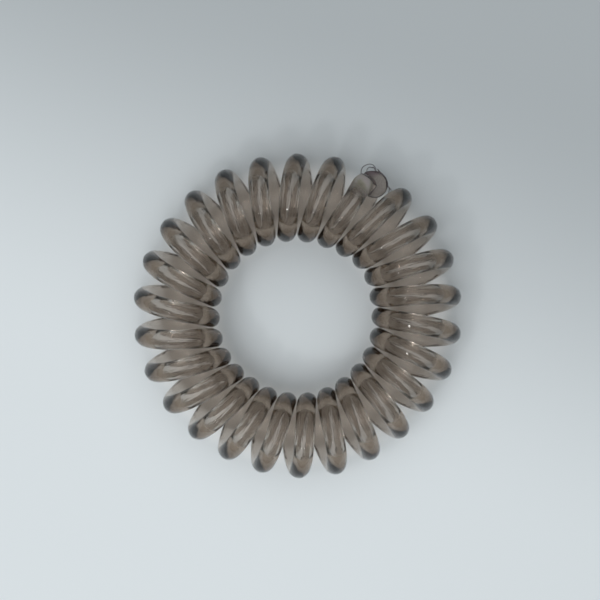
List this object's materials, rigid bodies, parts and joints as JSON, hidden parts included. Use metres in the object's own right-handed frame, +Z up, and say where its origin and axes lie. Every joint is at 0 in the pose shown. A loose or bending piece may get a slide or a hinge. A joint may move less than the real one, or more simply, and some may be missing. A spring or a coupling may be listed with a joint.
{
  "type": "spiral hair tie",
  "caption": "Worn spiral hair tie: a smoky, see-through plastic cord coiled tightly, with the coil closed into a ring and its ends welded.",
  "frame": {"origin": "on the surface that the ring lies on, under the middle of the ring", "axes": "+Z up through the hole of the lying ring; +X towards the right of the picture and +Y towards its top"},
  "size_m": [0.0501, 0.0498, 0.0134],
  "materials": {
    "smoky_plastic": "smoky translucent elastomer, glossy, dulled by wear"
  },
  "bodies": {
    "root": {"coiled_cord": "smoky_plastic"}
  },
  "joints": []
}
